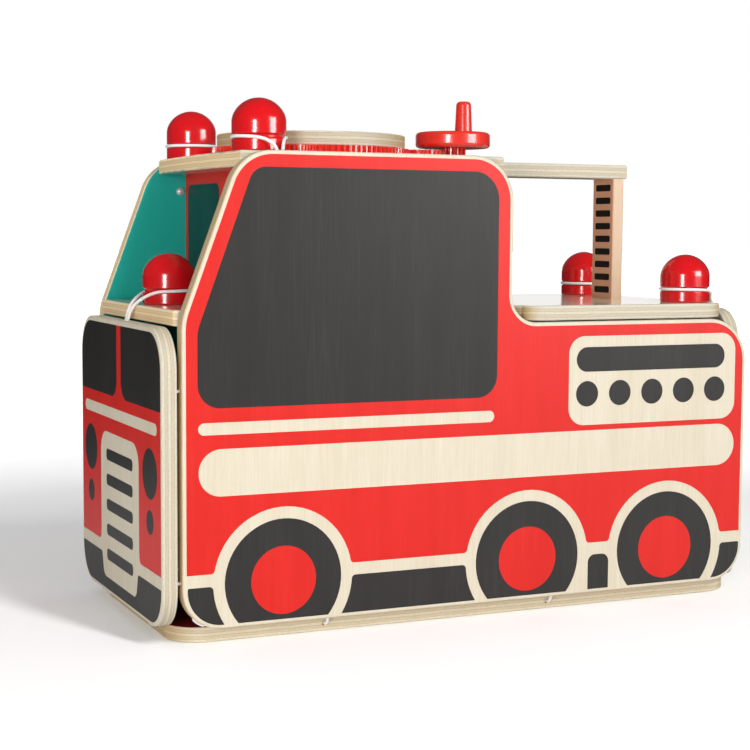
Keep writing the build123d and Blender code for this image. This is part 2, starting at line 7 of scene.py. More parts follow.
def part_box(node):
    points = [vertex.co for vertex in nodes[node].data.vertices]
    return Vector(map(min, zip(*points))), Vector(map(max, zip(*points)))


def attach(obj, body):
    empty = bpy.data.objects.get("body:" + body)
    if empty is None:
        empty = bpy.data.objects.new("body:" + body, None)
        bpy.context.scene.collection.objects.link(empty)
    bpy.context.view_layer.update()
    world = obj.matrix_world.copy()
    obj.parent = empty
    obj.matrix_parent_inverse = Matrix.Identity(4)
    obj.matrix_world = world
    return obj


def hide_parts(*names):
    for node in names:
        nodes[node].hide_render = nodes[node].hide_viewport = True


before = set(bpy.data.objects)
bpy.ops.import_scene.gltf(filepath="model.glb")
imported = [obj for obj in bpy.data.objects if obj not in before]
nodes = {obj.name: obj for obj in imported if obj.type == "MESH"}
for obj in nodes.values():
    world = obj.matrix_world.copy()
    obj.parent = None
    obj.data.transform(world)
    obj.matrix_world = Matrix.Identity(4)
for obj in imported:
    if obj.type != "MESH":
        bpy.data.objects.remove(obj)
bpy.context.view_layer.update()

# A wooden toy fire truck that opens into a fire station: its camera, light, materials, cords and prints
# The toy's own sizes are in millimetres. The camera, lamps, floor and the frame's boxes are in metres
MM = 0.001
X, Y, Z = range(3)

# Camera, with its focal length and principal point in the photograph's pixels
PICTURE_WIDTH = 750
FOCAL_LENGTH = 1643.09
PRINCIPAL_POINT = (379.24, 372.46)
SENSOR_WIDTH = 36
CLIP_START = 0.05
CAMERA_PLACE = Vector((-0.55223, -1.14843, 0.28038))
CAMERA_RIGHT = Vector((0.911514, -0.41122, 0.00589))
CAMERA_UP = Vector((0.029683, 0.08006, 0.996351))

camera = bpy.data.objects.new("camera", bpy.data.cameras.new("camera"))
camera.data.sensor_width = SENSOR_WIDTH
camera.data.lens = FOCAL_LENGTH * SENSOR_WIDTH / PICTURE_WIDTH
camera.data.shift_x = 0.5 - PRINCIPAL_POINT[0] / PICTURE_WIDTH
camera.data.shift_y = PRINCIPAL_POINT[1] / PICTURE_WIDTH - 0.5
camera.data.clip_start = CLIP_START
backward = CAMERA_RIGHT.cross(CAMERA_UP)
turned = Matrix((CAMERA_RIGHT, CAMERA_UP, backward)).transposed()
camera.matrix_world = Matrix.Translation(CAMERA_PLACE) @ turned.to_4x4()
bpy.context.scene.collection.objects.link(camera)
bpy.context.scene.camera = camera
bpy.context.scene.view_settings.view_transform = "Standard"


# Lamps
def soft_box(name, power, size, place, target, glossy=True, diffuse=True):
    """A rectangular studio lamp that looks at a target. It can leave out glossy or matt surfaces."""
    lamp = bpy.data.lights.new(name, "AREA")
    lamp.shape = "RECTANGLE"
    lamp.size, lamp.size_y = size
    lamp.energy = power
    item = bpy.data.objects.new(name, lamp)
    item.location = place
    item.rotation_mode = "QUATERNION"
    item.rotation_quaternion = (Vector(target) - Vector(place)).to_track_quat("-Z", "Y")
    item.visible_glossy = glossy
    item.visible_diffuse = diffuse
    bpy.context.scene.collection.objects.link(item)


# Each lamp with its power in watts, its width and height, its place and what it looks at
soft_box("key_light", 52, (0.3, 1.3), (0.51, -2.22, 2.13), (0, 0, 0.15), glossy=False)
soft_box("front_light", 14.5, (0.42, 0.5), (-1.25, -1.48, 0.36), (-0.15, 0, 0.25))
soft_box("right_card", 20, (0.8, 0.7), (0.95, -1.35, 0.62), (0.15, -0.1, 0.25), diffuse=False)

# Shader nodes, with the numbers of the mix node's sockets for colours
MIX_SHARE, MIX_FIRST, MIX_SECOND, MIX_RESULT = 0, 6, 7, 2


def connect(tree, socket, value):
    """Link a socket to another one, or set it to a plain value."""
    if isinstance(value, bpy.types.NodeSocket):
        tree.links.new(value, socket)
    else:
        socket.default_value = value


def add_node(tree, kind, **inputs):
    """A node with its inputs set by name, or by their number after the letter n."""
    made = tree.nodes.new(kind)
    for label, value in inputs.items():
        numbered = label[0] == "n" and label[1:].isdigit()
        connect(tree, made.inputs[int(label[1:]) if numbered else label], value)
    return made


def arithmetic(tree, operation, *values):
    """The result of one sum."""
    made = tree.nodes.new("ShaderNodeMath")
    made.operation = operation
    for place, value in enumerate(values):
        connect(tree, made.inputs[place], value)
    return made.outputs[0]


def ranged(tree, value, span, new_span):
    """A value moved from one span to another and held inside it."""
    low, high = span
    new_low, new_high = new_span
    made = add_node(tree, "ShaderNodeMapRange", n0=value, n1=low, n2=high, n3=new_low, n4=new_high)
    return made.outputs[0]


def blend_colours(tree, share, first, second, mode="MIX"):
    """The mix of two colours, by a share from 0 to 1."""
    made = tree.nodes.new("ShaderNodeMix")
    made.data_type = "RGBA"
    made.blend_type = mode
    connect(tree, made.inputs[MIX_SHARE], share)
    connect(tree, made.inputs[MIX_FIRST], first)
    connect(tree, made.inputs[MIX_SECOND], second)
    return made.outputs[MIX_RESULT]


def bump(tree, shader, height, strength, distance):
    """A raised pattern on a shader, up to a distance in metres."""
    made = add_node(tree, "ShaderNodeBump", Height=height, Strength=strength, Distance=distance)
    tree.links.new(made.outputs[0], shader.inputs["Normal"])


# World: a dark studio to glossy surfaces, but for a white backdrop behind the toy, and white to the camera
FILL = 0.42
STUDIO_DARK = 0.06
BACKDROP_DIRECTION = (0.41, 0.91, 0.0)
BACKDROP_EDGE = (0.88, 0.97)
WHITE = (1, 1, 1, 1)

world = bpy.data.worlds.new("studio")
bpy.context.scene.world = world
world.use_nodes = True
sky = world.node_tree
sky.nodes.clear()
ray = sky.nodes.new("ShaderNodeLightPath").outputs
seen = arithmetic(sky, "MAXIMUM", ray["Is Camera Ray"], ray["Is Transmission Ray"])
outward = sky.nodes.new("ShaderNodeTexCoord").outputs["Generated"]
toward = add_node(sky, "ShaderNodeVectorMath", n0=outward, n1=BACKDROP_DIRECTION)
toward.operation = "DOT_PRODUCT"
backdrop = ranged(sky, toward.outputs["Value"], BACKDROP_EDGE, (STUDIO_DARK, 1.0))
fill_strength = add_node(sky, "ShaderNodeMix", n0=ray["Is Glossy Ray"], n2=FILL, n3=backdrop).outputs[0]
fill = add_node(sky, "ShaderNodeBackground", Color=WHITE, Strength=fill_strength)
background = add_node(sky, "ShaderNodeBackground", Color=WHITE, Strength=1.0)
mixed = add_node(sky, "ShaderNodeMixShader", n0=seen, n1=fill.outputs[0], n2=background.outputs[0])
add_node(sky, "ShaderNodeOutputWorld", Surface=mixed.outputs[0])


# Colours
def srgb(red, green, blue):
    """A colour as it looks on a screen, each part from 0 to 255."""
    parts = [part / 255 for part in (red, green, blue)]
    return (*[part / 12.92 if part <= 0.04045 else ((part + 0.055) / 1.055) ** 2.4 for part in parts], 1)


def darker(colour, share):
    """A colour that keeps a share of its light."""
    return (*[part * share for part in colour[:3]], 1)


BIRCH = srgb(216, 208, 189)
BIRCH_DARK = srgb(202, 190, 165)
PLY_LIGHT = srgb(203, 198, 181)
PLY_DARK = srgb(192, 182, 159)
GLUE = srgb(166, 140, 106)
BEECH = srgb(214, 187, 160)
BEECH_DARK = srgb(208, 174, 144)
# Painted shade and a painted red reflection: the ladder post's front face is redder and darker
SHADED_BEECH_FRONT = srgb(214, 160, 128)
SHADED_BEECH_FRONT_DARK = srgb(196, 138, 106)
SOOT = srgb(24, 16, 12)
RED = srgb(210, 32, 25)
CHARCOAL = srgb(42, 41, 40)
TEAL = srgb(0, 164, 150)
DEEP_RED = srgb(150, 20, 22)
KNOB_RED = srgb(212, 14, 22)
CRANK_RED = srgb(236, 46, 34)
WINDOW_GREEN = srgb(10, 66, 62)
ELASTIC_LIGHT = srgb(246, 242, 240)
ELASTIC_DARK = srgb(222, 214, 212)
STEEL_LIGHT = srgb(236, 238, 240)
STEEL_DARK = srgb(206, 208, 212)

# Tints, which multiply the colour of a board's edges. Besides the plain one, they paint light and shade on
# them
PLAIN = (1, 1, 1, 1)
# Painted shade: the ends that face along the toy are warmer and darker
PAINTED_SHADE_END = (1.0, 0.84, 0.62, 1)
# Painted light: the front ends of some boards are paler, as if lit
PAINTED_LIGHT_FRONT_END = (1.58, 1.34, 1.03, 1)
# Painted light: the base's edges are brighter than the other boards' edges
PAINTED_LIGHT_BASE_EDGE = (1.3, 1.25, 1.17, 1)

# Noise: how many features a metre holds across the grain and along it
FINE_GRAIN = (900, 26)
BROAD_GRAIN = (70, 5)
FLECKS = (2600, 240)
PLY_WOBBLE = (30, 30)
PLY_SPECKLE = (700, 2400)
INK_GRAIN = (1100, 22)
INK_CLOUD = (60, 8)
LACQUER_GRAIN = (700, 90)
LACQUER_CLOUD = (60, 60)
BRAID = (1800, 1800)
WEAR = (900, 900)
NOISE_ROUGHNESS = 0.62
SMOOTH, MEDIUM, DETAILED = 2.0, 3.0, 4.0

# The span of noise values over which a pattern sets in
FULL_SPAN = (0, 1)
NOISE_SPAN = (0.3, 0.7)
CLOUD_SPAN = (0.35, 0.7)
FLECK_SPAN = (0.62, 0.78)
SPECKLE_SPAN = (0.45, 0.8)
PAINT_SPAN = (0.3, 0.75)
INK_SPAN = (0.42, 0.8)
INK_WEAR_SPAN = (0.2, 0.8)

# How much of its second colour each pattern mixes in, from 0 to 1
STREAK_SHARE = (0, 0.6)
BROAD_SHARE = (0, 0.4)
FLECK_SHARE = (0, 0.35)
SPECKLE_SHARE = (0, 0.55)
PAINT_SHARE = (0, 0.03)
LACQUER_SHARE = (0, 0.6)

# How much light the clouds in ink and in lacquer keep
INK_SHADE = 0.93
LACQUER_SHADE = 0.8

# Plywood: its thickness, how far its plies waver, and its colours from the low face, 0, to the high one, 1
BOARD = 11
WOBBLE = (-0.02, 0.02)
PLY_STOPS = (
    (0.19, PLY_LIGHT), (0.20, GLUE), (0.22, PLY_DARK), (0.38, PLY_DARK), (0.40, GLUE), (0.42, PLY_LIGHT),
    (0.58, PLY_LIGHT), (0.60, GLUE), (0.62, PLY_DARK), (0.78, PLY_DARK), (0.80, GLUE), (0.82, PLY_LIGHT),
)

# A face counts as flat or as an end by how squarely it looks along an axis
FACE_LIMIT = 0.8
# How squarely the post's front face, which gets painted shade, looks forward
SHADED_FRONT_LIMIT = 0.7
END_SPAN = (0.3, 0.9)

# Where along the toy, in metres, the painted light on the front ends gives way to the painted shade of the
# other ends
FRONT_FADE = (-0.12, -0.05)

# Surfaces. A pair is a span of roughness, and a rise is how far the noise lifts it
WOOD_SHINE = 0.35
WOOD_ROUGHNESS = 0.58
PAINT_ROUGHNESS = 0.5
SOLID_ROUGHNESS = (0.45, 0.6)
INK_RISE = 0.12
VARNISH_ROUGHNESS = 0.09
LACQUER_COAT = 0.8
LACQUER_COAT_ROUGHNESS = 0.13
LACQUER_RISE = 0.1
STEEL_ROUGHNESS = (0.22, 0.38)
STEEL_METALLIC = 0.55
ELASTIC_ROUGHNESS = (0.75, 0.9)
ELASTIC_SHEEN = 0.3

# How far the streaks of a bare board go from the roughness of wood to that of paint, as a share
STREAKED = (0, 0.2)


# Materials
def new_material(name):
    """A material, its node tree and its shader."""
    made = bpy.data.materials.new(name)
    made.use_nodes = True
    tree = made.node_tree
    return made, tree, tree.nodes["Principled BSDF"]


def stretched_noise(tree, along, grain, detail=DETAILED):
    """Noise drawn out along one axis, as wood grain is, from 0 to 1."""
    scale = [grain[0]] * 3
    scale[along] = grain[1]
    place = tree.nodes.new("ShaderNodeTexCoord").outputs["Object"]
    mapping = add_node(tree, "ShaderNodeMapping", Vector=place, Scale=scale).outputs[0]
    settings = {"Scale": 1.0, "Detail": detail, "Roughness": NOISE_ROUGHNESS}
    return add_node(tree, "ShaderNodeTexNoise", Vector=mapping, **settings).outputs[0]


def bare_wood(tree, along, light, dark):
    """Bare wood with fine streaks, slow changes of tone and small flecks, and the streaks alone."""
    fine = stretched_noise(tree, along, FINE_GRAIN)
    broad = stretched_noise(tree, along, BROAD_GRAIN, SMOOTH)
    flecks = stretched_noise(tree, along, FLECKS, SMOOTH)
    streaks = ranged(tree, fine, NOISE_SPAN, STREAK_SHARE)
    tone = arithmetic(tree, "ADD", streaks, ranged(tree, broad, NOISE_SPAN, BROAD_SHARE))
    veneer = blend_colours(tree, tone, light, dark)
    return blend_colours(tree, ranged(tree, flecks, FLECK_SPAN, FLECK_SHARE), veneer, GLUE), fine


def plies(tree, place, across, low, along):
    """The plies and glue lines that a board's edges show, from its low face up."""
    wobble = ranged(tree, stretched_noise(tree, along, PLY_WOBBLE, SMOOTH), NOISE_SPAN, WOBBLE)
    depth = arithmetic(tree, "ADD", ranged(tree, place[across], (low, low + BOARD * MM), (0, 1)), wobble)
    ramp = tree.nodes.new("ShaderNodeValToRGB")
    tree.links.new(depth, ramp.inputs[0])
    stops = ramp.color_ramp.elements
    stops[0].position, stops[0].color = 0.0, PLY_LIGHT
    stops[1].position, stops[1].color = 1.0, PLY_LIGHT
    for position, colour in PLY_STOPS:
        stops.new(position).color = colour
    speckle = stretched_noise(tree, across, PLY_SPECKLE, MEDIUM)
    return blend_colours(tree, ranged(tree, speckle, SPECKLE_SPAN, SPECKLE_SHARE), ramp.outputs[0], GLUE)


def painted_edge_shading(tree, place, facing, across, front_painted_shading, side_painted_light):
    """Painted light and shade on a board's edges: a tint for its sides, pale ends at the front, warm dark
    ends further back.
    """
    ends = blend_colours(tree, ranged(tree, place[X], FRONT_FADE, (0, 1)), front_painted_shading, PAINTED_SHADE_END)
    end_share = (0, 0) if across == X else (0, 1)
    is_end = ranged(tree, arithmetic(tree, "ABSOLUTE", facing[X]), END_SPAN, end_share)
    return blend_colours(tree, is_end, side_painted_light, ends)


def board_material(name, across, along, paints):
    """Birch plywood for a CAD node, whose low and high faces across the plies can be painted."""
    made, tree, shader = new_material(name + "_plywood")
    coordinates = tree.nodes.new("ShaderNodeTexCoord").outputs
    place = add_node(tree, "ShaderNodeSeparateXYZ", Vector=coordinates["Object"]).outputs
    facing = add_node(tree, "ShaderNodeSeparateXYZ", Vector=coordinates["Normal"]).outputs
    # The edges get painted light and shade: paler front ends or warmer, darker ends, and a brighter edge on
    # the base
    front_painted_shading = PAINTED_LIGHT_FRONT_END if name in PAINTED_LIGHT_FRONTS else PAINTED_SHADE_END
    side_painted_light = PAINTED_LIGHT_BASE_EDGE if name == "base_board" else PLAIN
    tint = painted_edge_shading(tree, place, facing, across, front_painted_shading, side_painted_light)
    wood = plies(tree, place, across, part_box(name)[0][across], along)
    edge = blend_colours(tree, 1.0, wood, tint, "MULTIPLY")
    veneer, fine = bare_wood(tree, along, BIRCH, BIRCH_DARK)
    flat = arithmetic(tree, "GREATER_THAN", arithmetic(tree, "ABSOLUTE", facing[across]), FACE_LIMIT)
    colour = blend_colours(tree, flat, edge, veneer)
    painted = 0.0 if any(paints) else ranged(tree, fine, FULL_SPAN, STREAKED)
    for side, limit, paint in zip(("LESS_THAN", "GREATER_THAN"), (-FACE_LIMIT, FACE_LIMIT), paints):
        if paint is None:
            continue
        on_side = arithmetic(tree, side, facing[across], limit)
        shade = blend_colours(tree, ranged(tree, fine, PAINT_SPAN, PAINT_SHARE), paint, BIRCH_DARK)
        colour = blend_colours(tree, on_side, colour, shade)
        painted = arithmetic(tree, "ADD", painted, on_side)
    tree.links.new(colour, shader.inputs["Base Color"])
    roughness = ranged(tree, painted, (0, 1), (WOOD_ROUGHNESS, PAINT_ROUGHNESS))
    tree.links.new(roughness, shader.inputs["Roughness"])
    shader.inputs["Specular IOR Level"].default_value = WOOD_SHINE
    if name in VARNISHED:
        tree.links.new(flat, shader.inputs["Coat Weight"])
        shader.inputs["Coat Roughness"].default_value = VARNISH_ROUGHNESS
    bump(tree, shader, fine, strength=0.10, distance=0.0002)
    return made


def solid_wood(name, along):
    """Beech, with painted shade and a painted red reflection on its front face, which is redder and darker.
    """
    made, tree, shader = new_material(name)
    side, fine = bare_wood(tree, along, BEECH, BEECH_DARK)
    # The front face's redder, darker beech is painted shade and a painted red reflection
    front = bare_wood(tree, along, SHADED_BEECH_FRONT, SHADED_BEECH_FRONT_DARK)[0]
    normal = tree.nodes.new("ShaderNodeTexCoord").outputs["Normal"]
    facing = add_node(tree, "ShaderNodeSeparateXYZ", Vector=normal).outputs[X]
    on_shaded_front = arithmetic(tree, "LESS_THAN", facing, -SHADED_FRONT_LIMIT)
    tree.links.new(blend_colours(tree, on_shaded_front, side, front), shader.inputs["Base Color"])
    tree.links.new(ranged(tree, fine, FULL_SPAN, SOLID_ROUGHNESS), shader.inputs["Roughness"])
    shader.inputs["Specular IOR Level"].default_value = WOOD_SHINE
    bump(tree, shader, fine, strength=0.10, distance=0.0002)
    return made


def ink_material(name, colour, along, streak, roughness=0.5, shine=0.25):
    """Printed ink on veneer, with the grain showing through as fine streaks."""
    made, tree, shader = new_material(name)
    fine = stretched_noise(tree, along, INK_GRAIN)
    broad = stretched_noise(tree, along, INK_CLOUD, SMOOTH)
    tinted = blend_colours(tree, ranged(tree, fine, INK_SPAN, (0, streak)), colour, BIRCH)
    clouded = blend_colours(tree, ranged(tree, broad, CLOUD_SPAN, (0, 1)), tinted, darker(colour, INK_SHADE))
    tree.links.new(clouded, shader.inputs["Base Color"])
    rough = ranged(tree, fine, INK_WEAR_SPAN, (roughness, roughness + INK_RISE))
    tree.links.new(rough, shader.inputs["Roughness"])
    shader.inputs["Specular IOR Level"].default_value = shine
    bump(tree, shader, fine, strength=0.12, distance=0.0002)
    return made


def lacquer_material(name, colour, roughness):
    """Glossy lacquer over turned wood."""
    made, tree, shader = new_material(name)
    cloud = stretched_noise(tree, Z, LACQUER_CLOUD, MEDIUM)
    fine = stretched_noise(tree, Z, LACQUER_GRAIN)
    shade = darker(colour, LACQUER_SHADE)
    clouded = blend_colours(tree, ranged(tree, cloud, CLOUD_SPAN, LACQUER_SHARE), colour, shade)
    tree.links.new(clouded, shader.inputs["Base Color"])
    rough = ranged(tree, cloud, NOISE_SPAN, (roughness, roughness + LACQUER_RISE))
    tree.links.new(rough, shader.inputs["Roughness"])
    shader.inputs["Coat Weight"].default_value = LACQUER_COAT
    shader.inputs["Coat Roughness"].default_value = LACQUER_COAT_ROUGHNESS
    bump(tree, shader, fine, strength=0.06, distance=0.0002)
    return made


def elastic_material():
    """White braided elastic."""
    made, tree, shader = new_material("white_elastic")
    braid = stretched_noise(tree, Z, BRAID, SMOOTH)
    colour = blend_colours(tree, ranged(tree, braid, NOISE_SPAN, (0, 1)), ELASTIC_LIGHT, ELASTIC_DARK)
    tree.links.new(colour, shader.inputs["Base Color"])
    tree.links.new(ranged(tree, braid, NOISE_SPAN, ELASTIC_ROUGHNESS), shader.inputs["Roughness"])
    shader.inputs["Sheen Weight"].default_value = ELASTIC_SHEEN
    bump(tree, shader, braid, strength=0.3, distance=0.0003)
    return made


def steel_material():
    """Nickel-plated steel with fine wear."""
    made, tree, shader = new_material("plated_steel")
    wear = stretched_noise(tree, Z, WEAR, MEDIUM)
    colour = blend_colours(tree, ranged(tree, wear, NOISE_SPAN, (0, 1)), STEEL_LIGHT, STEEL_DARK)
    tree.links.new(colour, shader.inputs["Base Color"])
    tree.links.new(ranged(tree, wear, NOISE_SPAN, STEEL_ROUGHNESS), shader.inputs["Roughness"])
    shader.inputs["Metallic"].default_value = STEEL_METALLIC
    bump(tree, shader, wear, strength=0.05, distance=0.0001)
    return made


def dress(name, material):
    """Give a CAD node its material."""
    item = nodes[name]
    if not item.material_slots:
        item.data.materials.append(material)
    for slot in item.material_slots:
        slot.material = material


# Boards with varnish on their flat faces, and boards whose front ends get painted light
VARNISHED = ("deck", "roof")
PAINTED_LIGHT_FRONTS = ("deck", "roof", "far_panel")

# Each board with the axis across its plies, the axis of its grain, and the paint on its low and high faces
boards = {
    "base_board": (Z, X, (None, DEEP_RED)),
    "first_floor": (Z, X, (None, None)),
    "deck": (Z, X, (None, None)),
    "roof": (Z, X, (None, None)),
    "near_panel": (Y, Z, (None, TEAL)),
    "far_panel": (Y, Z, (TEAL, None)),
    "front_panel": (X, Z, (None, None)),
    "rear_panel": (X, Z, (None, None)),
    "cab_wall_front": (X, Z, (RED, None)),
    "helipad_disc": (Z, X, (None, None)),
}
for storey in ("ground", "first"):
    for place in ("front", "middle", "rear"):
        boards[f"{storey}_wall_{place}"] = (X, Z, (None, None))
boards["cab_wall_rear"] = (X, Z, (None, None))
for name, (across, along, paints) in boards.items():
    dress(name, board_material(name, across, along, paints))
dress("ladder_post", solid_wood("post_beech", Z))

knob_lacquer = lacquer_material("knob_lacquer", KNOB_RED, roughness=0.16)
crank_lacquer = lacquer_material("crank_lacquer", CRANK_RED, roughness=0.24)
for name in ("front_knob", "roof_knob_near", "roof_knob_far", "rear_knob_near", "rear_knob_far"):
    dress(name, knob_lacquer)
for name in ("helipad_gear", "idler_gear", "crank_pinion", "crank_disc", "crank_peg"):
    dress(name, crank_lacquer)
elastic = elastic_material()
steel = steel_material()
for name in nodes:
    if "axle" in name or "button" in name:
        dress(name, steel)


# Cords: the elastic loops, the cord ends and the hinge rings, each a smooth line with its route's corners
CORD_RADIUS = 1.15
LOOP_RADIUS = 18.6
STRAND_SHIFT = 1.25
EDGE_RUN = 8.5
GROOVE_HEIGHT = 10.05
LIP_DROP = 1.1
HOLE_DEPTH = 13.5
WRAP_CORNERS = 4


def cord_piece(node, body, runs, closed=False):
    """A smooth cord in place of a CAD one. Each of its runs is a list of points in millimetres."""
    shape = bpy.data.curves.new(node + "_cord", "CURVE")
    shape.dimensions = "3D"
    shape.bevel_depth = CORD_RADIUS * MM
    shape.bevel_resolution = 4
    shape.resolution_u = 10
    shape.use_fill_caps = True
    for points in runs:
        spline = shape.splines.new("NURBS")
        spline.points.add(len(points) - 1)
        for place, point in enumerate(points):
            spline.points[place].co = (*[value * MM for value in point], 1)
        spline.order_u = 3
        spline.use_cyclic_u = closed
        spline.use_endpoint_u = not closed
    shape.materials.append(elastic)
    item = bpy.data.objects.new(node + "_cord", shape)
    bpy.context.scene.collection.objects.link(item)
    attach(item, body)
    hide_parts(node)


def loop_route(hole, hole_top, rise, knob, seat, edge=()):
    """The corners of a loop: out of its hole, past an edge, over the flange, round the groove and back."""
    centre = Vector((*knob, 0))
    line = Vector((*hole, 0)) - centre
    reach = line.length
    heading = Matrix.Rotation(atan2(line.y, line.x), 3, "Z")
    touch = atan2(STRAND_SHIFT, reach) + acos(LOOP_RADIUS / sqrt(reach**2 + STRAND_SHIFT**2))
    level = seat + GROOVE_HEIGHT
    step = (2 * pi - 2 * touch) / WRAP_CORNERS
    corner = LOOP_RADIUS / cos(step / 2)
    over_along = LOOP_RADIUS * cos(touch) + EDGE_RUN * sin(touch)
    over_across = LOOP_RADIUS * sin(touch) - EDGE_RUN * cos(touch)
    strand = [(reach, STRAND_SHIFT, hole_top - HOLE_DEPTH), (reach, STRAND_SHIFT, hole_top + rise)]
    strand += [(along, STRAND_SHIFT, height) for along, height in edge]
    strand.append((over_along, over_across, level - LIP_DROP))
    angles = [touch + (place + 0.5) * step for place in range(WRAP_CORNERS)]
    wrap = [(corner * cos(angle), corner * sin(angle), level) for angle in angles]
    back = [(along, -across, height) for along, across, height in strand[::-1]]
    return [centre + heading @ Vector(point) for point in strand + wrap + back]


# Holes and knobs: each hole is in a panel's top edge, and the roof's holes are a little behind their knobs
ROOF_KNOB = (-159.275, 75.5)
ROOF_HOLE = (-152.775, 101)
FRONT_KNOB = (-201.075, 0)
FRONT_HOLE = (-233.575, 0)
REAR_KNOB = (193.925, 75.5)
REAR_HOLE = (226.925, 75.5)
ROOF_TOP = 335
DECK_TOP = 227.5
FRONT_PANEL_TOP = 216
REAR_PANEL_TOP = 222
ROOF_RISE = 1.2
FRONT_RISE = 6.6
REAR_RISE = 1.6

# The rear loops lie against the deck's rear edge, at these distances from the knob and heights
REAR_EDGE = ((27.6, 224.2), (22.9, 229.5))

# The near and far sides, with their signs
SIDES = (("near", -1), ("far", 1))


def mirrored(place, side):
    """A place on the far side, or the same one on the near side where side is -1."""
    return place[0], place[1] * side


for name, side in SIDES:
    route = loop_route(mirrored(ROOF_HOLE, side), ROOF_TOP, ROOF_RISE, mirrored(ROOF_KNOB, side), ROOF_TOP)
    cord_piece(name + "_loop", name + "_panel", [route])
front_route = loop_route(FRONT_HOLE, FRONT_PANEL_TOP, FRONT_RISE, FRONT_KNOB, DECK_TOP)
cord_piece("front_loop", "front_panel", [front_route])
for name, side in SIDES:
    hole, knob = mirrored(REAR_HOLE, side), mirrored(REAR_KNOB, side)
    route = loop_route(hole, REAR_PANEL_TOP, REAR_RISE, knob, DECK_TOP, REAR_EDGE)
    cord_piece("rear_loop_" + name, "rear_panel", [route])

# Cord ends in the front edge of a side panel, at two heights, with how far each point of theirs drops
CORD_END_HEIGHTS = (44, 174)
CORD_END_POINTS = ((-217.1, 0), (-224, 0), (-226.8, 0.2), (-227.7, 0.5))

# The stitch in a side panel's round lower corner, by the angle of each point and its depth under the edge
PANEL_MIDDLE = 101
CORNER_CENTRE = (-197.075, 39.5)
CORNER_RADIUS = 28
STITCH_POINTS = ((228, 8), (228, 1.6), (228, -0.7), (246, -0.7), (246, 1.6), (246, 8))
for name, side in SIDES:
    y = PANEL_MIDDLE * side
    runs = [[(x, y, height - drop) for x, drop in CORD_END_POINTS] for height in CORD_END_HEIGHTS]
    stitch = []
    for angle, depth in STITCH_POINTS:
        turn, reach = radians(angle), CORNER_RADIUS - depth
        stitch.append((CORNER_CENTRE[0] + reach * cos(turn), y, CORNER_CENTRE[1] + reach * sin(turn)))
    cord_piece(name + "_cord_ends", name + "_panel", runs + [stitch])

# Hinge rings, each an eight-cornered route round its hinge line
RING_RADIUS = 5.5
RING_SIDES = 8
RING_CORNER = RING_RADIUS / cos(pi / RING_SIDES)
HINGE_HEIGHT = 11.2
SIDE_RING_PLACES = (-117.575, 62.425)
END_RING_PLACES = (-55, 55)
SIDE_HINGES = {"near": -95.5, "far": 95.5}
END_HINGES = {"front": -228.075, "rear": 232.425}


def ring(x, y, along_x):
    """The corners of a hinge ring round a line along x or along y."""
    corners = []
    for place in range(RING_SIDES):
        turn = 2 * pi * place / RING_SIDES
        out, up = RING_CORNER * cos(turn), RING_CORNER * sin(turn)
        corners.append((x, y + out, HINGE_HEIGHT + up) if along_x else (x + out, y, HINGE_HEIGHT + up))
    return corners


for name, y in SIDE_HINGES.items():
    cord_piece(name + "_hinge_cords", "frame", [ring(x, y, True) for x in SIDE_RING_PLACES], closed=True)
for name, x in END_HINGES.items():
    cord_piece(name + "_hinge_cords", "frame", [ring(x, y, False) for y in END_RING_PLACES], closed=True)


# Outlines, drawn across and up a face in millimetres
ARC_STEP = 6


def arc(centre, radius, start, stop):
    """Corners along an arc, with its ends given as angles in degrees."""
    steps = max(2, ceil(abs(stop - start) / ARC_STEP))
    angles = [radians(start + (stop - start) * step / steps) for step in range(steps + 1)]
    return [(centre[0] + radius * cos(angle), centre[1] + radius * sin(angle), 0) for angle in angles]


def rounded(corners):
    """A closed outline through corners, each with the radius of the arc that turns it."""
    points = []
    for place, (across, up, radius) in enumerate(corners):
        corner = Vector((across, up))
        if radius == 0:
            points.append(corner)
            continue
        before = (Vector(corners[place - 1][:2]) - corner).normalized()
        after = (Vector(corners[(place + 1) % len(corners)][:2]) - corner).normalized()
        half = before.angle(after) / 2
        centre = corner + (before + after).normalized() * radius / sin(half)
        start = corner + before * radius / tan(half) - centre
        sweep = start.angle_signed(corner + after * radius / tan(half) - centre)
        steps = max(2, ceil(abs(sweep) / radians(ARC_STEP)))
        for step in range(steps + 1):
            points.append(centre + Matrix.Rotation(-sweep * step / steps, 2) @ start)
    return points


def bar(left, right, low, high, radius):
    """A rounded rectangle."""
    return rounded([(left, low, radius), (right, low, radius), (right, high, radius), (left, high, radius)])


def disc(across, up, radius):
    """A full circle."""
    return rounded(arc((across, up), radius, 0, 360)[:-1])


# Flat pieces
def sheet_piece(name, body, face, thickness, material, outlines, edge=0.0):
    """A flat piece whose middle is on a face. Its outlines are drawn at the inside of its rounded edges."""
    shape = bpy.data.curves.new(name, "CURVE")
    shape.dimensions = "2D"
    shape.fill_mode = "BOTH"
    shape.extrude = thickness / 2 - edge
    shape.bevel_depth = edge
    shape.bevel_resolution = 4
    for outline in outlines:
        spline = shape.splines.new("POLY")
        spline.points.add(len(outline) - 1)
        for point, place in zip(spline.points, outline):
            point.co = (place.x, place.y, 0, 1)
        spline.use_cyclic_u = True
    drawn = bpy.data.objects.new(name, shape)
    mesh = bpy.data.meshes.new_from_object(drawn)
    bpy.data.objects.remove(drawn)
    mesh.transform(face)
    if face.determinant() < 0:
        mesh.flip_normals()
    mesh.materials.clear()
    mesh.materials.append(material)
    item = bpy.data.objects.new(name, mesh)
    bpy.context.scene.collection.objects.link(item)
    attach(item, body)
    return item


def flat_print(name, body, face, thickness, material, *outlines):
    """A thin printed area on a face. An outline inside another one is left bare."""
    sunk = face @ Matrix.Translation((0, 0, thickness / 2 - INK_SINK))
    return sheet_piece(name, body, sunk, thickness, material, outlines)


